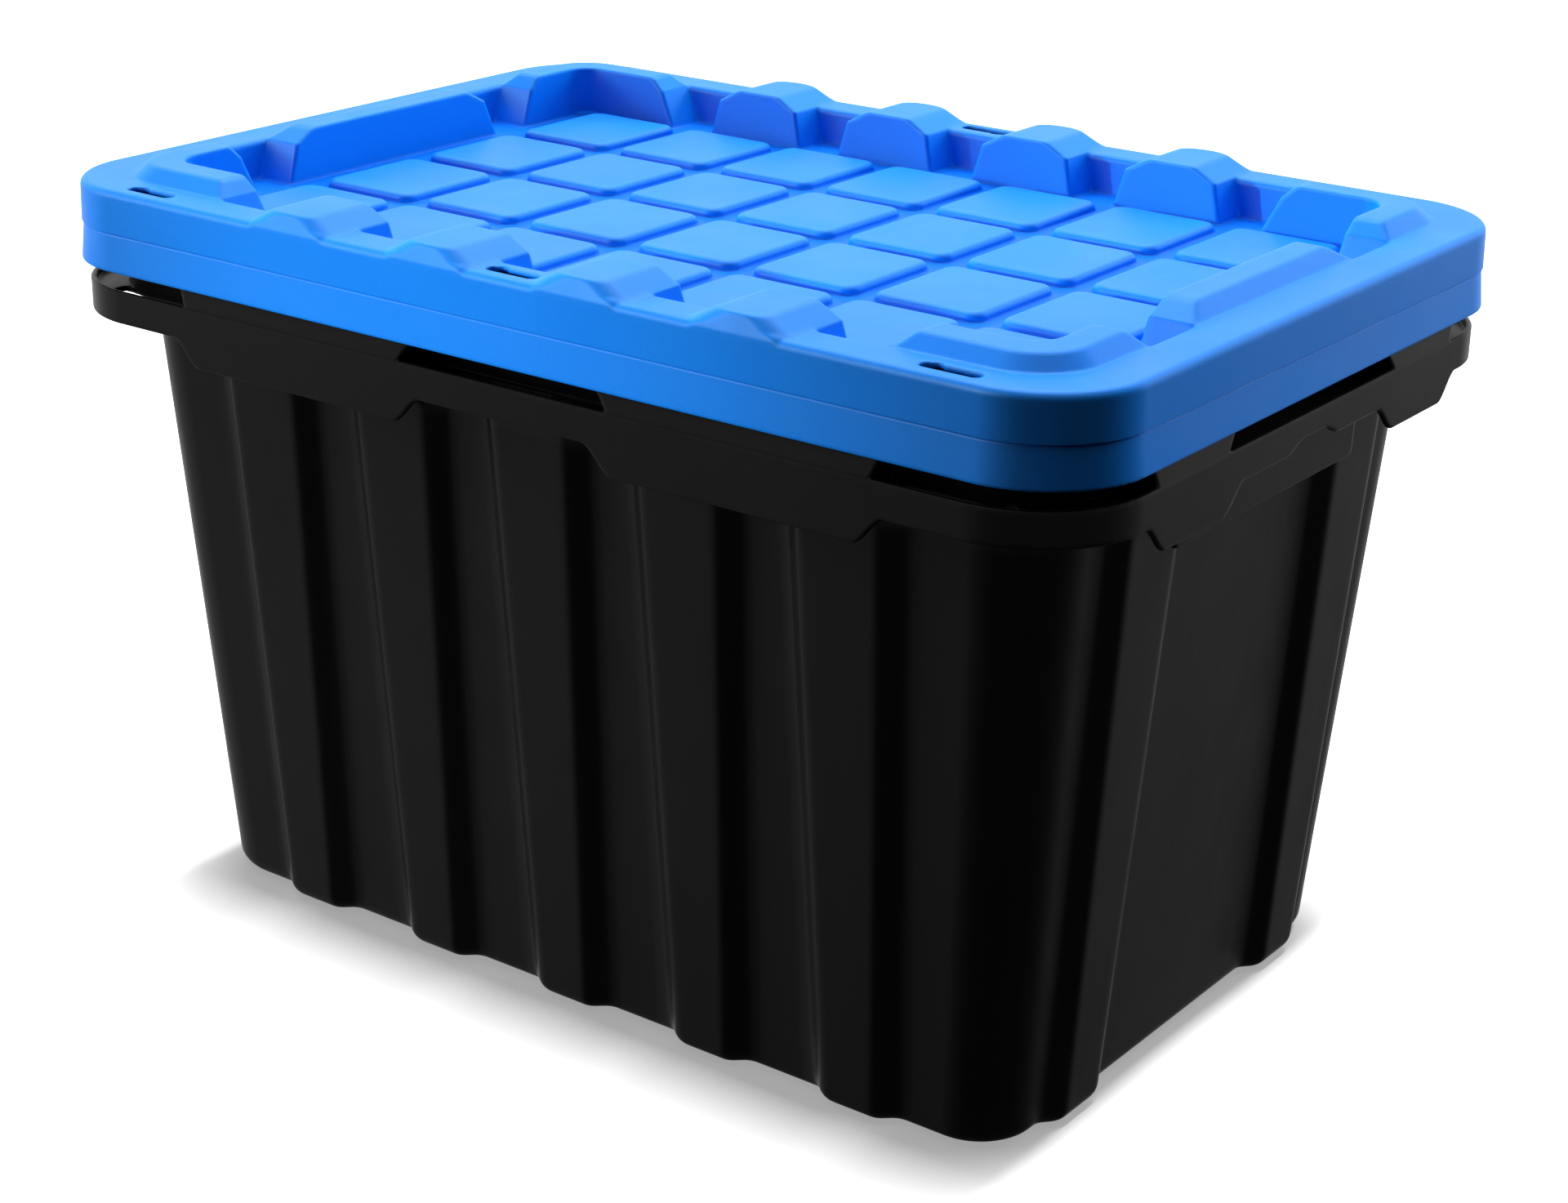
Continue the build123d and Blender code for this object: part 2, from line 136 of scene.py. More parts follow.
LID_BEAD = (273.5, 185.0, 44.0)
LID_BEAD_Z, LID_BEAD_R = 310.6, 0.75
LID_SLOT = (13.4, 3.3, 3.3)
KEY_X, KEY_Y, KEY_R = 7.75, 0.9, 3.7                   # round opening at one end of a slot


def lid_side(x, y, z):
    above = np.clip((z - Z_STEP) / (Z_FACE - Z_STEP), 0, 1)
    below = np.clip((Z_STEP - z) / (Z_STEP - Z_SKIRT), 0, 1)
    upper = np.clip((z - (Z_STEP - STEP_HEIGHT)) / STEP_HEIGHT, 0, 1)
    seam = SEAM * np.clip(1 - (Z_STEP - STEP_HEIGHT - z) / SEAM_FADE, 0, 1)
    offset = (-UNDER_STEP - seam + SKIRT_FLARE * below) * (1 - upper) - TOP_LEAN * above * upper
    return rounded_rect(x, y, *grown(LID, offset))


def lid_recess(x, y, z):
    lean = np.clip(Z_FACE - z, 0, RECESS_DEPTH) / RECESS_DEPTH * RECESS_LEAN
    plan = rounded_rect(x, y, RECESS_X - lean, RECESS_Y - lean, RECESS_R)
    return meet(plan, Z_GROOVE - z, radius=2.0)


def lid_pads(x, y, z):
    """Seven by four pads on the recess floor."""
    ay = np.abs(y)
    column = np.clip(np.round(x / PAD_PITCH_X), -3, 3)
    row = np.clip(np.floor(ay / PAD_PITCH_Y), 0, 1) + 0.5
    spread = np.clip(Z_PAD - z, 0, 6) * PAD_LEAN
    plan = rounded_rect(x - column * PAD_PITCH_X, ay - row * PAD_PITCH_Y, *grown(PAD, spread))
    return meet(plan, z - Z_PAD - 0.3, radius=2.3)


def flank(distance, slope, over_face):
    return distance * (slope[0] - slope[1] * over_face)


def ring_blocks(x, y, z, over_face):
    """Blocks at the four corners, and one in the middle of each end."""
    ax, ay = np.abs(x), np.abs(y)
    rise = np.clip(z - Z_FACE, 0, 20) * RING_LEAN
    plan = rounded_rect(x, y, RECESS_X + RING_GAP, RECESS_Y + RING_GAP, RECESS_R)
    outer = (plan + rise) * RING_SLOPE
    inner = -(rounded_rect(x, y, *BLOCK_INNER) + BLOCK_INNER_LEAN * (Z_BLOCK - z))
    ring = meet(meet(outer, inner, radius=1.8), z - Z_BLOCK, radius=1.2)
    from_x = np.interp(z, BLOCK_Z, CORNER_FROM_X)
    from_y = np.interp(z, BLOCK_Z, CORNER_FROM_Y)
    corner = meet(ring, flank(from_x - ax, CORNER_SLOPE_X, over_face), radius=1.6)
    corner = meet(corner, flank(from_y - ay, CORNER_SLOPE_Y, over_face), radius=1.6)
    half_y = np.interp(z, BLOCK_Z, END_HALF_Y)
    end = meet(ring, flank(ay - half_y, END_SLOPE, over_face), radius=1.6)
    return corner, np.maximum(end, END_FROM_X - ax)


def side_blocks(x, y, z, over_face, side):
    """Four blocks along each long side, kept just within the lid's side."""
    ax, ay = np.abs(x), np.abs(y)
    centre = np.where(ax < 2 * SIDE_BLOCK_X, SIDE_BLOCK_X, 3 * SIDE_BLOCK_X)
    half_x = np.interp(z, BLOCK_Z, SIDE_HALF_X)
    outer_y = SIDE_OUTER_Y + np.clip(Z_BLOCK - z, 0, 30) * SIDE_OUTER_LEAN
    inner_y = SIDE_INNER_Y - BLOCK_INNER_LEAN * (Z_BLOCK - z)
    block = meet(flank(np.abs(ax - centre) - half_x, SIDE_SLOPE, over_face),
                 (ay - outer_y) * SIDE_OUTER_SLOPE, radius=5.5)
    block = meet(block, inner_y - ay, radius=1.8)
    block = meet(block, z - Z_BLOCK, radius=0.9)
    return np.maximum(block, side + 0.02 + 0.33 * np.clip((Z_FACE - 2.0 - z) / 3.0, 0, 1))


def lid_slots(x, y, z):
    split = SLOT_X / 2
    u = np.where(x > split, x - SLOT_X, np.where(x < -split, x + SLOT_X, x))
    v = np.abs(y) - SLOT_Y
    hole = rounded_rect(u, v, *LID_SLOT)
    hole = np.minimum(hole, np.hypot(u - KEY_X * np.sign(y), v + KEY_Y) - KEY_R)
    return np.maximum(hole, SLOT_BOTTOM - z)


def lid_field(x, y, z):
    side = lid_side(x, y, z)
    over_face = np.clip((z - (Z_FACE - 1.5)) / 3.0, 0, 1)
    solid = meet(side, z - Z_FACE, radius=3.4)
    solid = meet(solid, -lid_recess(x, y, z), radius=2.6)
    solid = join(solid, lid_pads(x, y, z), radius=0.6)
    for block in ring_blocks(x, y, z, over_face):
        solid = join(solid, block, radius=1.6)
    # the fillet tightens toward the outer face of the side blocks
    root = 0.25 + 1.15 * np.clip((184.0 - np.abs(y)) / 4.0, 0, 1)
    solid = join(solid, side_blocks(x, y, z, over_face, side), radius=root)
    shell = np.maximum(solid, -(solid + LID_WALL))
    shell = meet(shell, Z_SKIRT - z, radius=0.8)
    skirt_bead = bead(rounded_rect(x, y, *LID_BEAD), z, LID_BEAD_Z, LID_BEAD_R)
    shell = join(shell, skirt_bead, radius=0.5)
    return meet(shell, -lid_slots(x, y, z), radius=0.45)


# ------------------------------------------------------------------
# tote wall
# ------------------------------------------------------------------
def wall_section(z, inset):
    """Half length, half width, corner radius and half rib base at height z."""
    return (FOOT_X + DRAFT * z - inset,
            FOOT_Y + DRAFT * z - inset,
            np.maximum(FOOT_R + 0.3 * DRAFT * z - 0.6 * inset, 4.0),
            RIB_BASE_LOW + (RIB_BASE_TOP - RIB_BASE_LOW) * z / Z_SHELF_LOW - RIB_TRIM * inset)


def add_rib(solid, across, half, along, base):
    """Add a rib to the wall face at distance half; it is rooted 14 mm inside the face."""
    out = across - half
    slope = ((np.abs(along) - base) * RIB_DEPTH + out * RIB_RUN) / RIB_FLANK
    rib = meet(out - RIB_DEPTH, slope, radius=1.7)
    return join(solid, np.maximum(rib, half - 14.0 - across), radius=2.2)


def wall_field(x, y, z, inset):
    """Corrugated, drafted wall as a solid filled to the inside."""
    ax, ay = np.abs(x), np.abs(y)
    half_x, half_y, radius, base = wall_section(z, inset)
    solid = rounded_rect(x, y, half_x, half_y, radius)
    centre = np.clip(np.round(ax / RIB_PITCH), 0, 2) * RIB_PITCH
    solid = add_rib(solid, ay, half_y, ax - centre, base)
    return add_rib(solid, ax, half_x, ay - END_RIB_Y, base)


# ------------------------------------------------------------------
# tote rim
# ------------------------------------------------------------------
# lower edge of the band: where it drops on the long sides and ends, and rises mid-end
APRON_X = ((43.5, 59.5), (176.5, 191.0))
APRON_Y = ((57.5, 74.5), (118.8, 134.0))
NOTCH_Y = (8.5, 22.5)
APRON_DROP, NOTCH_RISE = 11.8, 4.6
BAND_WALL = 2.5

# outer face of the rail above the band
RAIL_Z = (299.0, 299.9, 308.2, 310.4)
RAIL_X = (273.45, 273.4, 272.3, 270.9)
RAIL_Y = (185.9, 185.85, 184.3, 182.4)
RAIL_INNER = (268.4, 179.9, 43.3)
RAIL_LOW, RAIL_TOP_LOW = 297.6, 340.3
RAIL_BEAD_Z, RAIL_BEAD_R = 313.6, 0.55
OPENING_TOP, OPENING_RISE = 316.0, 16.1

# pocket end walls: centre places, half thickness; the pocket floors overlap them
POCKET_X, POCKET_Y = (57.3, 182.6), (72.4, 125.4)
POCKET_HALF_WALL, POCKET_OVERLAP = 1.1, 1.0

# panel on each end wall
PANEL_Z, PANEL_HALF_Y, PANEL_HALF_Z, PANEL_R = 275.6, 77.0, 19.0, 4.0
PANEL_FROM_X, PANEL_TO_X = 243.6, 255.0


def raised_between(limits, value):
    rise, fall = limits
    return smoothstep(*rise, value) * (1 - smoothstep(*fall, value))


def rim_band(ax, ay, z, band_plan):
    long_side = (ay > 150.0) * 1.0
    end = (ax > 240.0) * 1.0
    apron = raised_between(APRON_X, ax) * long_side + raised_between(APRON_Y, ay) * end
    notch = (1 - smoothstep(*NOTCH_Y, ay)) * end
    low = Z_BAND_LOW - APRON_DROP * apron + NOTCH_RISE * notch
    band = meet(np.maximum(band_plan, -(band_plan + BAND_WALL)), z - Z_BAND, radius=0.55)
    return meet(band, (low - z) * 0.8, radius=0.9)


def rail_openings(ax, ay, z):
    """Leaning openings mid long side, at the corners and mid end."""
    u = np.clip((z - Z_BAND) / OPENING_RISE, -0.4, 1)
    top = z - OPENING_TOP
    side = meet((ax - (56.1 - 12.9 * u)) * 0.78, top, radius=1.0)
    side = meet(side, 172.0 - ay, radius=0.5)
    corner = meet((183.8 + 7.0 * u - ax) * 0.92, (126.6 + 6.2 * u - ay) * 0.92, radius=0.5)
    corner = meet(corner, top, radius=1.0)
    end = meet((ay - (71.2 - 11.8 * u)) * 0.8, top, radius=1.0)
    end = meet(end, 258.0 - ax, radius=0.5)
    return np.minimum(np.minimum(side, corner), end)


def rim_pockets(ax, ay, z, room):
    """Pocket floors with their holes, level with the shelf."""
    overlap = POCKET_OVERLAP
    side = np.maximum(ax - (POCKET_X[0] + overlap), 150.0 - ay)
    corner = np.maximum(POCKET_X[1] - overlap - ax, POCKET_Y[1] - overlap - ay)
    end = np.maximum(ay - (POCKET_Y[0] + overlap), 240.0 - ax)
    zone = np.minimum(np.minimum(side, corner), end)
    slab = np.abs(z - (Z_SHELF_LOW + Z_SHELF) / 2) - (Z_SHELF - Z_SHELF_LOW) / 2
    hole = np.where(ax > SLOT_X / 2,
                    rounded_rect(ax - 213.0, ay - 176.4, 27.0, 7.4, 2.0),
                    rounded_rect(ax, ay - 177.2, 18.0, 4.7, 2.0))
    return np.maximum(np.maximum(np.maximum(zone, room), slab), -hole)


def pocket_ends(ax, ay, z, room, rail_plan):
    def pair(across, centres):
        return (np.minimum(np.abs(across - centres[0]), np.abs(across - centres[1]))
                - POCKET_HALF_WALL)

    limit = np.maximum(np.maximum(room, rail_plan + 1.0),
                       np.maximum(Z_BAND_LOW + 1.0 - z, z - 341.0))
    walls = np.minimum(np.maximum(pair(ax, POCKET_X), 160.0 - ay),
                       np.maximum(pair(ay, POCKET_Y), 245.0 - ax))
    return np.maximum(walls, limit)


def end_panel(ax, ay, z, body):
    half_y = PANEL_HALF_Y + np.clip(z - (PANEL_Z - PANEL_HALF_Z), -2, 40) * 0.08
    panel = rounded_rect(ay, z - PANEL_Z, half_y, PANEL_HALF_Z, PANEL_R)
    panel = meet(panel, ax - PANEL_TO_X, radius=1.3)
    return np.maximum(np.maximum(panel, PANEL_FROM_X - ax), -body)


def rim_field(x, y, z):
    ax, ay = np.abs(x), np.abs(y)
    band_plan = rounded_rect(x, y, *BAND)
    mouth = rounded_rect(x, y, *MOUTH)
    mouth_outer = rounded_rect(x, y, *grown(MOUTH, MOUTH_WALL))
    half_x = np.interp(z, RAIL_Z, RAIL_X)
    half_y = np.interp(z, RAIL_Z, RAIL_Y)
    rail_plan = rounded_rect(x, y, half_x, half_y, BAND[2] - (BAND[0] - half_x))

    openings = rail_openings(ax, ay, z)
    rail = np.maximum(rail_plan, -rounded_rect(x, y, *RAIL_INNER))
    rail = meet(np.maximum(rail, RAIL_LOW - z), -openings, radius=0.9)
    top = np.maximum(np.maximum(rail_plan, -mouth), RAIL_TOP_LOW - z)
    column = np.maximum(np.maximum(mouth_outer, -mouth), Z_SHELF_LOW - z)
    solid = np.minimum(rim_band(ax, ay, z, band_plan), rail)
    solid = join(solid, top, radius=0.6)
    solid = join(solid, column, radius=0.6)
    # the bead is pushed out of reach across the openings
    rail_bead = bead(rail_plan, z, RAIL_BEAD_Z, RAIL_BEAD_R)
    solid = np.minimum(solid, rail_bead + 8 * (openings < 1.5))
    solid = meet(solid, z - Z_RIM, radius=1.0)

    body = wall_field(x, y, z, 2.35)
    shelf = np.maximum(mouth_outer, -body)
    shelf = meet(meet(shelf, z - Z_SHELF, radius=0.4), Z_SHELF_LOW - z, radius=0.4)
    room = np.maximum(band_plan + 1.2, -rounded_rect(x, y, *grown(MOUTH, 1.0)))
    inner = np.minimum(shelf, rim_pockets(ax, ay, z, room))
    inner = np.minimum(inner, pocket_ends(ax, ay, z, room, rail_plan))
    solid = join(solid, inner, radius=0.5)
    solid = np.minimum(solid, end_panel(ax, ay, z, body))

    u = np.where(ax > SLOT_X / 2, ax - SLOT_X, ax)
    slot = np.maximum(rounded_rect(u, ay - SLOT_Y, 13.0, 2.8, 2.8), SLOT_BOTTOM - z)
    return meet(solid, -slot, radius=0.3)


# ------------------------------------------------------------------
# meshing: one point per grid cell the surface crosses, moved onto the true surface
# ------------------------------------------------------------------
CORNERS = [(i & 1, i >> 1 & 1, i >> 2) for i in range(8)]
EDGES = [(a, a + step) for step in (1, 2, 4) for a in range(8) if not a & step]


def ticks(*runs):
    """Grid lines through runs of (start, end, largest step)."""
    lines = []
    for start, end, step in runs:
        count = max(1, int(math.ceil((end - start) / step)))
        lines += list(np.linspace(start, end, count, endpoint=False))
    lines.append(runs[-1][1])
    return np.array(lines)


def gradient(field, points, step):
    slopes = [(field(*(points + offset).T) - field(*(points - offset).T)) / (2 * step)
              for offset in step * np.eye(points.shape[1])]
    return np.stack(slopes, 1)


def surface_net(field, xs, ys, zs, half=False):
    """Mesh the quarter from x = 0 and y = 0 outward, or with half=True the y <= 0 half.

    Returns points, quads, masks of the points on x = 0 and on y = 0, and each point's
    grid cell along X and Z.
    """
    grid = (xs, ys, zs)
    values = field(xs[:, None, None], ys[None, :, None], zs[None, None, :]).astype(np.float32)
    inside = values < 0
    filled = np.zeros(tuple(n - 1 for n in values.shape), np.uint8)
    nx, ny, nz = filled.shape
    for a, b, c in CORNERS:
        filled += inside[a:a + nx, b:b + ny, c:c + nz]
    cells = np.nonzero((filled > 0) & (filled < 8))
    count = len(cells[0])
    index = np.full(filled.shape, -1, np.int64)
    index[cells] = np.arange(count)

    # start from the mean of the edge crossings
    points = np.zeros((count, 3))
    hits = np.zeros(count)
    for a, b in EDGES:
        low = tuple(cell + shift for cell, shift in zip(cells, CORNERS[a]))
        high = tuple(cell + shift for cell, shift in zip(cells, CORNERS[b]))
        at_low, at_high = values[low].astype(float), values[high].astype(float)
        crossed = (at_low < 0) != (at_high < 0)
        t = at_low[crossed] / (at_low[crossed] - at_high[crossed])
        for k, lines in enumerate(grid):
            start, end = lines[low[k][crossed]], lines[high[k][crossed]]
            points[crossed, k] += start + (end - start) * t
        hits[crossed] += 1
    points /= hits[:, None]
    on_x0 = np.zeros(count, bool) if half else cells[0] == 0
    on_y0 = cells[1] == (ny - 1 if half else 0)
    points[on_x0, 0] = 0
    points[on_y0, 1] = 0

    # Newton steps, held near the starting cell
    reach = np.stack([np.diff(lines)[cell] for lines, cell in zip(grid, cells)], 1) * 0.7
    first = points.copy()
    for _ in range(3):
        distance = field(*points.T)
        slope = gradient(field, points, 0.04)
        slope[on_x0, 0] = 0
        slope[on_y0, 1] = 0
        steepness = np.maximum((slope * slope).sum(1), 0.15)
        points = points - slope * (distance / steepness)[:, None]
        points = first + np.clip(points - first, -reach, reach)

    faces = []
    for axis in range(3):
        turned = np.moveaxis(inside, axis, 0)
        i, j, k = np.nonzero((turned[:-1] != turned[1:])[:, 1:-1, 1:-1])
        j += 1
        k += 1
        starts_inside = turned[:-1][i, j, k]
        near = np.moveaxis(index, axis, 0)
        quads = np.stack([near[i, j - 1, k - 1], near[i, j, k - 1],
                          near[i, j, k], near[i, j - 1, k]], 1)
        flip = starts_inside if axis == 1 else ~starts_inside
        quads[flip] = quads[flip][:, ::-1]
        faces.append(quads)
    faces = np.concatenate(faces)
    faces = faces[(faces >= 0).all(1)]
    return points, faces, on_x0, on_y0, np.column_stack([cells[0], cells[2]])


def mirror_quarter(points, faces, on_x0, on_y0):
    """Mirror a quarter across x = 0 and y = 0; points on the planes are shared."""
    all_points, all_faces = [points], [faces]

    def add_copy(signs, new, shared, flip):
        new = np.nonzero(new)[0]
        index = shared.copy()
        index[new] = sum(map(len, all_points)) + np.arange(len(new))
        all_points.append(points[new] * np.array(signs))
        copied = index[faces]
        all_faces.append(copied[:, ::-1] if flip else copied)
        return index

    base = np.arange(len(points))
    across_x = add_copy((-1, 1, 1), ~on_x0, base, True)
    across_y = add_copy((1, -1, 1), ~on_y0, base, True)
    # points on x = 0 come from the y copy, points on y = 0 from the x copy
    shared = np.where(on_x0, across_y, np.where(on_y0, across_x, -1))
    add_copy((-1, -1, 1), ~on_x0 & ~on_y0, shared, False)
    return np.concatenate(all_points), np.concatenate(all_faces)


def turn_half(points, faces, on_y0, cells):
    """Complete a y <= 0 half by a half turn about Z; points on y = 0 are shared."""
    shared = np.nonzero(on_y0)[0]
    point_at = {(a, b): i for i, (a, b) in zip(shared, cells[shared])}
    span = cells[:, 0].min() + cells[:, 0].max()
    index = np.full(len(points), -1)
    for i in shared:
        index[i] = point_at.get((span - cells[i, 0], cells[i, 1]), i)
    new = np.nonzero(~on_y0)[0]
    index[new] = len(points) + np.arange(len(new))
    turned = points[new] * np.array([-1, -1, 1])
    return np.concatenate([points, turned]), np.concatenate([faces, index[faces]])


def link_object(name, data):
    ob = bpy.data.objects.new(name, data)
    bpy.context.scene.collection.objects.link(ob)
    return ob


def mesh_object(name, points, quads, triangles=()):
    """Smooth-shaded object from points in millimetres."""
    mesh = bpy.data.meshes.new(name)
    loops, starts = quads.reshape(-1), np.arange(len(quads)) * 4
    if len(triangles):
        starts = np.concatenate([starts, len(loops) + np.arange(len(triangles)) * 3])
        loops = np.concatenate([loops, triangles.reshape(-1)])
    mesh.vertices.add(len(points))
    mesh.vertices.foreach_set("co", (points / 1000.0).reshape(-1).astype(np.float32))
    mesh.loops.add(len(loops))
    mesh.loops.foreach_set("vertex_index", loops.astype(np.int32))
    mesh.polygons.add(len(starts))
    mesh.polygons.foreach_set("loop_start", starts.astype(np.int32))
    mesh.polygons.foreach_set("use_smooth", np.ones(len(starts), bool))
    mesh.update(calc_edges=True)
    mesh.validate()
    return link_object(name, mesh)


FINE_GRID = 1.15
GRID = FINE_GRID
SCALE = GRID / FINE_GRID


def build_lid():
    x_lines = ticks((0.5 * GRID, 278.0, GRID))
    y_lines = ticks((0.5 * GRID, 144.0, GRID), (144.0, 189.6, min(GRID, 0.85)))
    xs = np.concatenate([-x_lines[::-1], x_lines])
    ys = np.concatenate([-y_lines[::-1], [0.5 * GRID]])
    zs = ticks((306.6, 312.6, 0.75 * SCALE), (312.6, 324.2, 2.4), (324.2, 325.2, 0.4),
               (325.2, 326.4, 0.12), (326.4, 327.3, 0.45), (327.3, 333.2, 0.7 * SCALE),
               (333.2, 341.4, 1.3 * SCALE), (341.4, 353.4, 0.7 * SCALE))
    points, faces, _, on_y0, cells = surface_net(lid_field, xs, ys, zs, half=True)
    return mesh_object("lid_shell", *turn_half(points, faces, on_y0, cells))


def spaced(corners, counts):
    """Points along a run of corners, crowded toward the corners but not toward the axes."""
    points = []
    for start, end, count in zip(corners, corners[1:], counts):
        if start[0] == 0:
            t = np.sin(np.linspace(0, math.pi / 2, count + 1))
        elif end[1] == 0:
            t = 1 - np.cos(np.linspace(0, math.pi / 2, count + 1))
        else:
            t = (1 - np.cos(np.linspace(0, math.pi, count + 1))) / 2
        points += [(start[0] + (end[0] - start[0]) * s, start[1] + (end[1] - start[1]) * s)
                   for s in t[:-1]]
    return points


def wall_outline(z, inset):
    """Full wall loop, counter-clockwise from above, starting on the +X axis."""
    half_x, half_y, radius, base = wall_section(z, inset)
    crest = base - RIB_RUN
    high_x, high_y = half_x + RIB_DEPTH, half_y + RIB_DEPTH
    corners = [(0, high_y), (crest, high_y), (base, half_y)]
    for c in (RIB_PITCH, 2 * RIB_PITCH):
        corners += [(c - base, half_y), (c - crest, high_y), (c + crest, high_y), (c + base, half_y)]
    corners.append((half_x - radius, half_y))
    points = spaced(corners, [8, 6] + [6, 6, 14, 6] * 2 + [8])
    for k in range(20):
        angle = math.pi / 2 * (1 - k / 20)
        points.append((half_x - radius + radius * math.cos(angle),
                       half_y - radius + radius * math.sin(angle)))
    c = END_RIB_Y
    corners = [(half_x, half_y - radius), (half_x, c + base), (high_x, c + crest),
               (high_x, c - crest), (half_x, c - base), (half_x, 0)]
    points += spaced(corners, [6, 6, 14, 6, 10])
    points.append((half_x, 0.0))
    points = np.array(points, float)

    # draw the points onto the filleted wall, keeping the end points on their axes
    def section(x, y):
        return wall_field(x, y, z, inset)

    on_x0, on_y0 = points[:, 0] == 0, points[:, 1] == 0
    for _ in range(4):
        distance = section(*points.T)
        slope = gradient(section, points, 0.03)
        slope[on_x0, 0] = 0
        slope[on_y0, 1] = 0
        steepness = np.maximum((slope * slope).sum(1), 0.2)
        points -= slope * distance[:, None] / steepness[:, None]
    back = points[::-1]
    return np.concatenate([back, points[1:] * (-1, 1), back[1:] * (-1, -1),
                           points[1:-1] * (1, -1)])


WALL_TOP = 295.0
EDGE_R = 9.5                             # rounding between wall and underside
FOOT_INSET, FOOT_INNER_R, UNDERSIDE_Z = 34, 16, 0.8


def build_walls():
    levels = []                          # (z, inset): up the outside, then down the inside
    for k in range(9):
        angle = math.pi / 2 * k / 8
        levels.append((EDGE_R - EDGE_R * math.cos(angle), EDGE_R - EDGE_R * math.sin(angle)))
    levels += [(z, 0.0) for z in np.linspace(EDGE_R, WALL_TOP, 13)[1:]]
    levels += [(z, WALL) for z in np.linspace(WALL_TOP, FLOOR_TOP + EDGE_R, 13)]
    for k in range(1, 9):
        angle = math.pi / 2 * (1 - k / 8)
        levels.append((FLOOR_TOP + EDGE_R - EDGE_R * math.cos(angle),
                       WALL + (EDGE_R - EDGE_R * math.sin(angle)) * 0.9))
    rings = [wall_outline(z, inset) for z, inset in levels]

    # inner edge of the foot, found by halving along each point's direction
    n = len(rings[0])
    angles = np.arctan2(rings[0][:, 1], rings[0][:, 0])
    low, high = np.full(n, 10.0), np.full(n, 400.0)
    for _ in range(30):
        middle = (low + high) / 2
        within = rounded_rect(middle * np.cos(angles), middle * np.sin(angles),
                              FOOT_X - FOOT_INSET, FOOT_Y - FOOT_INSET, FOOT_INNER_R) < 0
        low, high = np.where(within, middle, low), np.where(within, high, middle)
    foot = np.column_stack([low * np.cos(angles), low * np.sin(angles)])

    def at_height(ring, z):
        return np.column_stack([ring, np.full(n, z)])

    points = np.vstack([at_height(ring, z) for ring, (z, _) in zip(rings, levels)]
                       + [[[0, 0, levels[-1][0]]], at_height(foot, 0.0),
                          at_height(foot, UNDERSIDE_Z), [[0, 0, UNDERSIDE_Z]]])
    j = np.arange(n)
    j_next = (j + 1) % n

    def strip(lower, upper):
        return np.column_stack([lower + j, lower + j_next, upper + j_next, upper + j])

    last = (len(rings) - 1) * n
    floor_centre = last + n
    foot_start = floor_centre + 1
    recess_start = foot_start + n
    quads = [strip(i * n, (i + 1) * n) for i in range(len(rings) - 1)]
    quads += [strip(foot_start, 0), strip(recess_start, foot_start)]
    triangles = [np.column_stack([last + j, last + j_next, np.full(n, floor_centre)]),
                 np.column_stack([recess_start + j_next, recess_start + j,
                                  np.full(n, recess_start + n)])]
    return points, np.concatenate(quads), np.concatenate(triangles)


def build_tote():
    wall_points, wall_quads, wall_triangles = build_walls()
    edge = min(GRID, 0.95)
    middle = (-0.5 * GRID, 0.5 * GRID, GRID)
    xs = ticks(middle, (0.5 * GRID, 236.0, GRID), (236.0, 275.2, edge))
    ys = ticks(middle, (0.5 * GRID, 155.0, GRID), (155.0, 187.8, edge))
    zs = ticks((255.0, 261.2, 0.8 * SCALE), (261.2, 270.0, 2.0), (270.0, 303.0, 0.85 * SCALE),
               (303.0, 318.0, 1.1 * SCALE), (318.0, 338.0, 4.0), (338.0, 344.0, 0.7 * SCALE))
    points, faces = mirror_quarter(*surface_net(rim_field, xs, ys, zs)[:4])
    return mesh_object("tote_shell", np.vstack([wall_points, points]),
                       np.concatenate([wall_quads, faces + len(wall_points)]), wall_triangles)


# ------------------------------------------------------------------
# materials
# ------------------------------------------------------------------
class Nodes:
    """Adds nodes to an emptied tree; an input is a value, or a socket to link from."""

    def __init__(self, owner):
        owner.use_nodes = True
        self.tree = owner.node_tree
        self.tree.nodes.clear()

    def add(self, kind, inputs=None, **settings):
        node = self.tree.nodes.new("ShaderNode" + kind)
        for key, value in settings.items():
            setattr(node, key, value)
        for key, value in (inputs or {}).items():
            if isinstance(value, bpy.types.NodeSocket):
                self.tree.links.new(value, node.inputs[key])
            else:
                node.inputs[key].default_value = value
        return node

    def noise(self, vector, scale, detail, roughness=0.5):
        return self.add("TexNoise", {"Vector": vector, "Scale": scale, "Detail": detail,
                                     "Roughness": roughness}).outputs["Fac"]

    def remap(self, value, source=(0.0, 1.0), to=(0.0, 1.0), smooth=False):
        return self.add("MapRange", {"Value": value, "From Min": source[0],
                                     "From Max": source[1], "To Min": to[0], "To Max": to[1]},
                        interpolation_type="SMOOTHSTEP" if smooth else "LINEAR").outputs["Result"]

    def math(self, operation, a, b):
        return self.add("Math", {0: a, 1: b}, operation=operation).outputs[0]

    def mix(self, factor, a, b, **settings):
        return self.add("Mix", {"Factor": factor, "A": a, "B": b}, data_type="RGBA",
                        **settings).outputs["Result"]

    def bump(self, height, strength, distance, **inputs):
        return self.add("Bump", {"Height": height, "Strength": strength,
                                 "Distance": distance, **inputs}).outputs["Normal"]


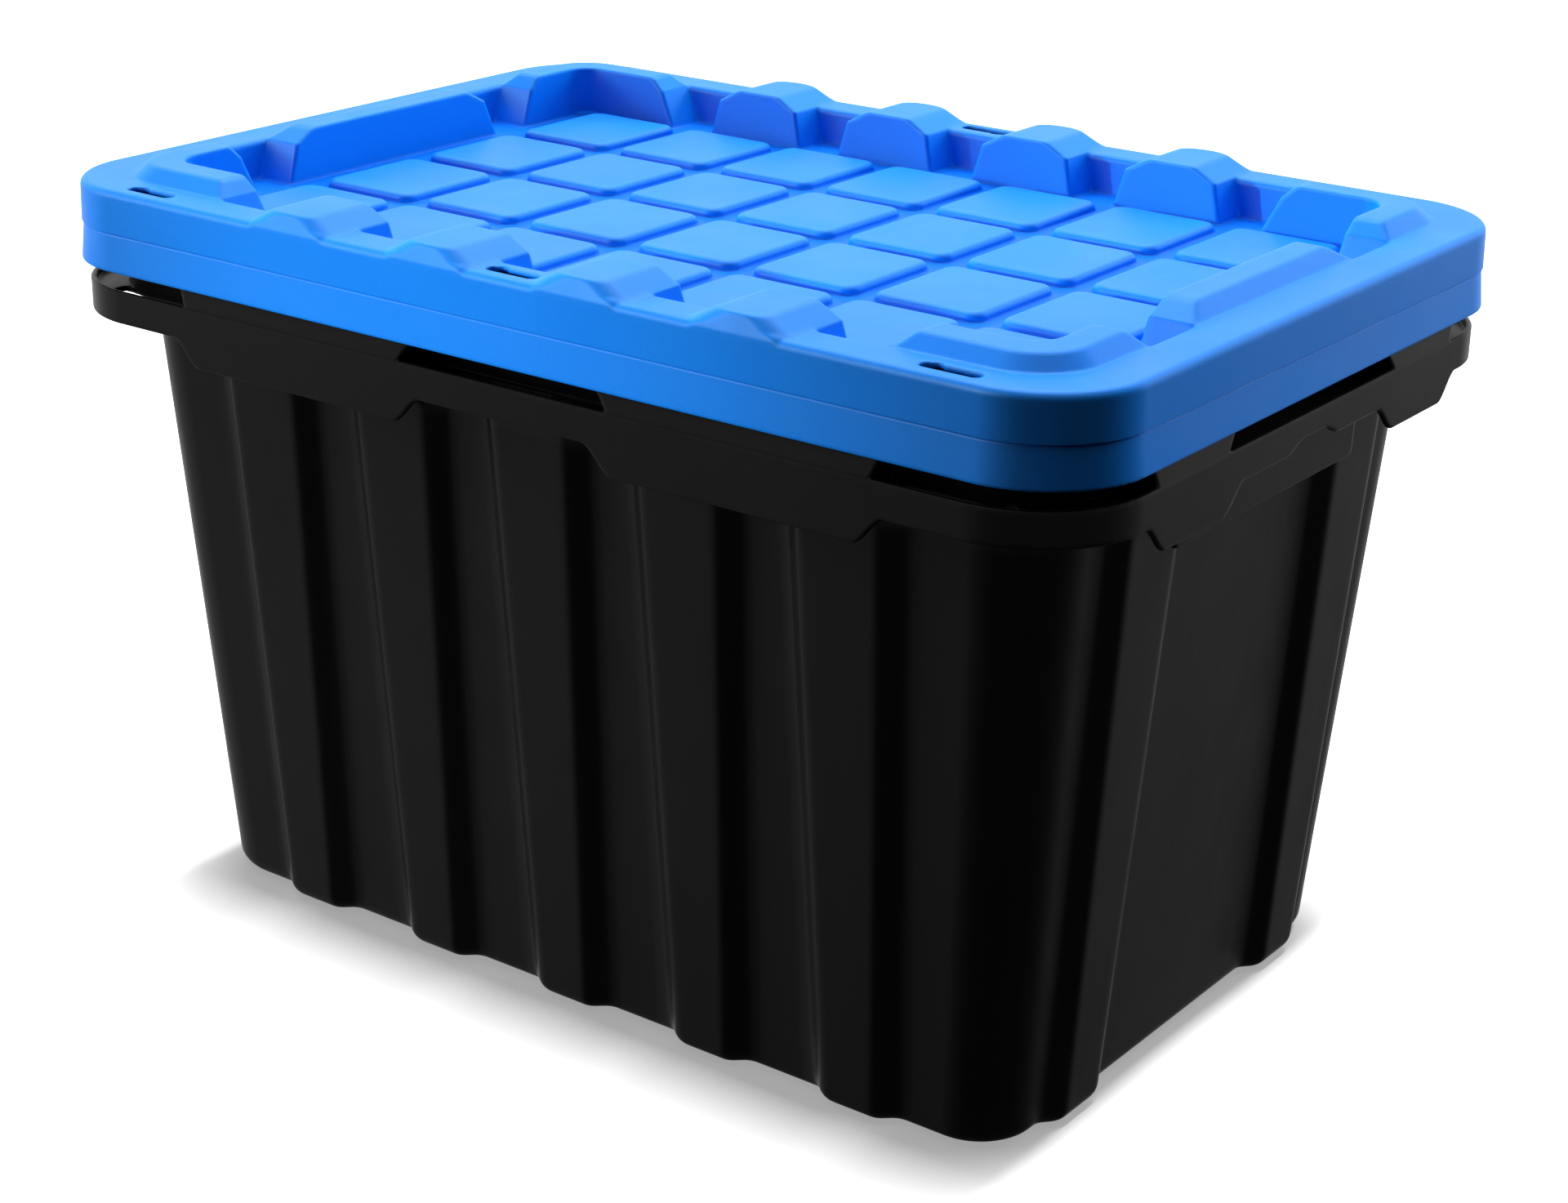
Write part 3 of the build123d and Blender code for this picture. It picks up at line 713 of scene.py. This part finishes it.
def paint_groove_shade_and_glow(nodes, principled, normal, place, colour, groove_shade_colour, specular):
    """Between the pads: painted shade as a deeper colour, less sheen, and a painted glow (emission
    in place of light) on flanks facing +X -Y.
    """
    across = nodes.add("VectorMath", {0: place}, operation="ABSOLUTE").outputs["Vector"]
    split = nodes.add("SeparateXYZ", {"Vector": across}).outputs
    # metres: the painted shade fades in at the pad flanks, then stops at the limits of the recess
    depth = nodes.remap(split["Z"], source=(0.3304, 0.3280), smooth=True)
    in_x = nodes.math("LESS_THAN", split["X"], 0.2575)
    in_y = nodes.math("LESS_THAN", split["Y"], 0.1705)
    in_plan = nodes.math("MULTIPLY", in_x, in_y)
    in_z = nodes.math("GREATER_THAN", split["Z"], 0.3262)
    in_depth = nodes.math("MULTIPLY", depth, in_z)
    recess_shade_mask = nodes.math("MULTIPLY", in_plan, in_depth)
    sheen = nodes.remap(recess_shade_mask, to=(specular, specular * 0.35))
    # painted light: an emission glow on the flanks facing +X -Y stands in for light the lamps do not
    # bring there
    facing = nodes.add("VectorMath", {0: normal, 1: (0.656, -0.755, 0.0)},
                       operation="DOT_PRODUCT").outputs["Value"]
    glow = nodes.math("MULTIPLY", nodes.remap(facing, source=(0.74, 0.96), smooth=True), recess_shade_mask)
    painted_glow_colour = nodes.mix(glow, (0, 0, 0, 1), (0.0, 0.055, 0.27, 1))
    nodes.tree.links.new(sheen, principled.inputs["Specular IOR Level"])
    nodes.tree.links.new(painted_glow_colour, principled.inputs["Emission Color"])
    principled.inputs["Emission Strength"].default_value = 1.0
    # painted shade: the recess floor and pad flanks take the darker groove colour
    return nodes.mix(recess_shade_mask, colour, (*groove_shade_colour, 1))


def plastic(name, base, edge, dark, roughness, grain_scale, grain_height, streak, specular,
            tint=(1, 1, 1), groove_shade_colour=None):
    material = bpy.data.materials.new(name)
    nodes = Nodes(material)
    place = nodes.add("TexCoord").outputs["Object"]
    geometry = nodes.add("NewGeometry").outputs

    # broad colour variation, rubbed edges, faint speckle
    ramp = nodes.add("ValToRGB", {"Fac": nodes.noise(place, scale=9.0, detail=4.0)})
    stops = ramp.color_ramp.elements
    for stop, position, colour in zip(stops, (0.3, 0.72), (dark, base)):
        stop.position = position
        stop.color = (*colour, 1)
    rubbed = nodes.remap(geometry["Pointiness"], source=(0.53, 0.62), to=(0.0, 0.55))
    colour = nodes.mix(rubbed, ramp.outputs["Color"], (*edge, 1))
    speckle = nodes.remap(nodes.noise(place, scale=900.0, detail=2.0), to=(0.94, 1.06))
    colour = nodes.mix(1.0, colour, speckle, blend_type="MULTIPLY")

    # roughness: broad patches and vertical streaks
    patches = nodes.remap(nodes.noise(place, scale=26.0, detail=5.0), source=(0.3, 0.7),
                          to=(roughness - 0.035, roughness + 0.045))
    drawn_out = nodes.add("Mapping", {"Vector": place, "Scale": (1.0, 1.0, 0.03)})
    streaks = nodes.noise(drawn_out.outputs["Vector"], scale=170.0, detail=3.0)
    streaks = nodes.remap(streaks, to=(-streak, streak))

    # moulded grain over faint waviness
    grain = nodes.noise(place, scale=grain_scale, detail=3.0, roughness=0.6)
    normal = nodes.bump(grain, strength=0.5, distance=grain_height)
    waves = nodes.noise(place, scale=14.0, detail=1.0)
    normal = nodes.bump(waves, strength=0.35, distance=0.0012, Normal=normal)

    principled = nodes.add("BsdfPrincipled", {
        "Roughness": nodes.math("ADD", patches, streaks), "Normal": normal,
        "Specular IOR Level": specular, "Specular Tint": (*tint, 1)})
    # painted shade and a painted glow in the lid's recess
    if groove_shade_colour:
        colour = paint_groove_shade_and_glow(nodes, principled, geometry["Normal"], place, colour, groove_shade_colour,
                               specular)
    nodes.tree.links.new(colour, principled.inputs["Base Color"])
    nodes.add("OutputMaterial", {"Surface": principled.outputs["BSDF"]})
    return material


def floor_material():
    """Lit white to the camera; elsewhere clear, with a glow that only reflections see."""
    material = bpy.data.materials.new("pale_floor")
    nodes = Nodes(material)
    diffuse = nodes.add("BsdfDiffuse", {"Color": (0.3, 0.3, 0.3, 1)}).outputs[0]
    lift = nodes.add("Emission", {"Color": (1, 1, 1, 1), "Strength": 0.35}).outputs[0]
    seen = nodes.add("AddShader", {0: diffuse, 1: lift}).outputs[0]
    clear = nodes.add("BsdfTransparent").outputs[0]
    ray = nodes.add("LightPath").outputs
    place = nodes.add("TexCoord").outputs["Object"]
    # a pool of light beside the tote, and the pale floor further out
    from_pool = nodes.add("VectorMath", {0: place, 1: (-0.28, -0.42, 0.0)},
                          operation="DISTANCE").outputs["Value"]
    pool = nodes.remap(from_pool, source=(0.52, 0.08), to=(0.0, 0.05), smooth=True)
    from_centre = nodes.add("VectorMath", {0: place}, operation="LENGTH").outputs["Value"]
    far = nodes.remap(from_centre, source=(1.15, 1.9), to=(0.0, 0.22), smooth=True)
    glow = nodes.add("Emission", {"Strength": nodes.math("ADD", pool, far)}).outputs[0]
    glowing = nodes.add("AddShader", {0: clear, 1: glow}).outputs[0]
    unseen = nodes.add("MixShader", {"Fac": ray["Is Glossy Ray"], 1: clear, 2: glowing})
    surface = nodes.add("MixShader", {"Fac": ray["Is Camera Ray"], 1: unseen.outputs[0], 2: seen})
    nodes.add("OutputMaterial", {"Surface": surface.outputs[0]})
    return material


# ------------------------------------------------------------------
# the product
# ------------------------------------------------------------------
# the blue's groove colour is painted shade for the recess floor and pad flanks
BLUE = plastic("blue_polypropylene", base=(0.0012, 0.205, 0.80), edge=(0.02, 0.31, 0.95),
               dark=(0.0010, 0.192, 0.77), roughness=0.42, grain_scale=1500.0,
               grain_height=0.00010, streak=0.02, specular=0.5, tint=(0.55, 0.88, 1.0),
               groove_shade_colour=(0.0008, 0.145, 0.72))
BLACK = plastic("black_polypropylene", base=(0.0078, 0.0074, 0.0078),
                edge=(0.020, 0.019, 0.020), dark=(0.0064, 0.0061, 0.0064), roughness=0.36,
                grain_scale=1900.0, grain_height=0.00006, streak=0.05, specular=0.45)

lid = build_lid()
lid.data.materials.append(BLUE)
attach(lid, "lid")
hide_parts("snap_lid")

tote = build_tote()
tote.data.materials.append(BLACK)
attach(tote, "tote")
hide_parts("tote_body")

# ------------------------------------------------------------------
# studio, metres and degrees; azimuth 0 looks from the -Y side, growing towards +X
# ------------------------------------------------------------------
floor_mesh = bpy.data.meshes.new("floor")
floor_mesh.from_pydata([(-9, -9, 0), (9, -9, 0), (9, 9, 0), (-9, 9, 0)], [], [(0, 1, 2, 3)])
floor = link_object("floor", floor_mesh)
floor_mesh.materials.append(floor_material())

# round glows of the dome: azimuth, elevation, inner angle, outer angle, gain
DIFFUSE_GLOWS = [(205, 66, 12, 68, 1.5)]
GLOSSY_GLOWS = [(216, 14, 20, 70, 1.08), (-80, 5, 5, 75, 0.28), (165, 5, 5, 60, 0.16),
                (0, 90, 10, 60, 0.5)]
DIFFUSE_BASE, GLOSSY_BASE, CAMERA_LEVEL = 0.012, 0.035, 1.05


def direction(azimuth, elevation):
    az, el = math.radians(azimuth), math.radians(elevation)
    return (math.sin(az) * math.cos(el), -math.cos(az) * math.cos(el), math.sin(el))


def build_world():
    """Dim room with broad smooth glows, different for diffuse and glossy rays."""
    world = bpy.data.worlds.new("studio")
    bpy.context.scene.world = world
    nodes = Nodes(world)
    world.cycles.sampling_method = "NONE"
    view = nodes.add("TexCoord").outputs["Generated"]

    def glow(azimuth, elevation, inner, outer, gain):
        toward = nodes.add("VectorMath", {0: view, 1: direction(azimuth, elevation)},
                           operation="DOT_PRODUCT").outputs["Value"]
        edges = (math.cos(math.radians(outer)), math.cos(math.radians(inner)))
        return nodes.remap(toward, source=edges, to=(0.0, gain), smooth=True)

    def total(glows, base):
        level, *others = [glow(*row) for row in glows]
        for other in others + [base]:
            level = nodes.math("ADD", level, other)
        return level

    def choose(ray, otherwise, chosen):
        return nodes.add("Mix", {"Factor": ray, "A": otherwise, "B": chosen},
                         data_type="FLOAT").outputs["Result"]

    diffuse = total(DIFFUSE_GLOWS, DIFFUSE_BASE)
    glossy = total(GLOSSY_GLOWS, GLOSSY_BASE)
    ray = nodes.add("LightPath").outputs
    level = choose(ray["Is Glossy Ray"], diffuse, glossy)
    level = choose(ray["Is Camera Ray"], level, CAMERA_LEVEL)
    background = nodes.add("Background", {"Strength": level})
    nodes.add("OutputWorld", {"Surface": background.outputs[0]})


def lit_group(name, *members):
    group = bpy.data.collections.new(name)
    for ob in members:
        group.objects.link(ob)
    return group


def add_lamp(name, kind, power, pose, receivers, **settings):
    """Lamp that lights only its receivers and is hidden from reflections."""
    data = bpy.data.lights.new(name, kind)
    data.energy = power
    for key, value in settings.items():
        setattr(data, key, value)
    ob = link_object(name, data)
    ob.rotation_mode = "QUATERNION"
    ob.location, ob.rotation_quaternion = pose
    ob.visible_glossy = False
    ob.light_linking.receiver_collection = receivers
    return ob


def aimed(azimuth, elevation, distance, target=(0, 0, 0.22)):
    """Location and rotation of a lamp looking at the target."""
    target = Vector(target)
    location = target + Vector(direction(azimuth, elevation)) * distance
    return location, (target - location).to_track_quat("-Z", "Y")


def add_area(name, power, width, height, pose, receivers):
    return add_lamp(name, "AREA", power, pose, receivers, shape="RECTANGLE",
                    size=width, size_y=height)


build_world()
on_tote = lit_group("lit_tote", lid, tote)
on_floor = lit_group("lit_floor", floor)
on_lid = lit_group("lit_lid", lid)
add_area("left_soft", power=98.0, width=1.0, height=1.6, pose=aimed(-69, 10, 3.2),
         receivers=on_tote)
add_area("right_soft", power=55.0, width=1.0, height=1.6, pose=aimed(152, 12, 2.2),
         receivers=on_tote)
add_area("top_soft", power=50.0, width=1.5, height=1.3, pose=aimed(215, 64, 2.0),
         receivers=on_tote)
add_lamp("front_soft", "SPOT", power=470.0, receivers=on_lid,
         pose=aimed(-40, 10, 3.2, target=(-0.05, -0.187, 0.33)),
         spot_size=math.radians(7.7), spot_blend=1.0, shadow_soft_size=0.09)
# seen only as a reflection on the lid
gleam = add_area("front_gleam", power=46.0, width=1.7, height=1.7, pose=aimed(-34, 23, 3.0),
                 receivers=on_lid)
gleam.visible_glossy = True
gleam.visible_diffuse = False
# two long overhead lamps, pointing straight down, draw the soft shadow on the floor
for number, x in enumerate((2.94, -2.94), start=1):
    add_area("floor_soft_%d" % number, power=11800.0, width=0.8, height=6.9,
             pose=((x, 0.78, 20.0), (1, 0, 0, 0)), receivers=on_floor)

# camera: place in metres, lens in millimetres, roll about the view axis
CAMERA_PLACE = (0.78143885, -1.05733813, 0.66000432)
CAMERA_AZIMUTH, CAMERA_ELEVATION, CAMERA_ROLL = 36.11, 21.19, 1.02
CAMERA_LENS = 68.8123125

camera_data = bpy.data.cameras.new("camera")
camera_data.sensor_fit = "HORIZONTAL"
camera_data.sensor_width = 36.0
camera_data.lens = CAMERA_LENS
camera_data.clip_start, camera_data.clip_end = 0.05, 60.0
camera = link_object("camera", camera_data)
back = Vector(direction(CAMERA_AZIMUTH, CAMERA_ELEVATION))
right = (-back).cross(Vector((0, 0, 1))).normalized()
up = right.cross(-back)
cos_roll, sin_roll = (f(math.radians(CAMERA_ROLL)) for f in (math.cos, math.sin))
axes = Matrix((right * cos_roll + up * sin_roll, up * cos_roll - right * sin_roll, back))
pose = axes.transposed().to_4x4()
pose.translation = CAMERA_PLACE
camera.matrix_world = pose
bpy.context.scene.camera = camera

view_settings = bpy.context.scene.view_settings
view_settings.view_transform = "Standard"
view_settings.look = "None"
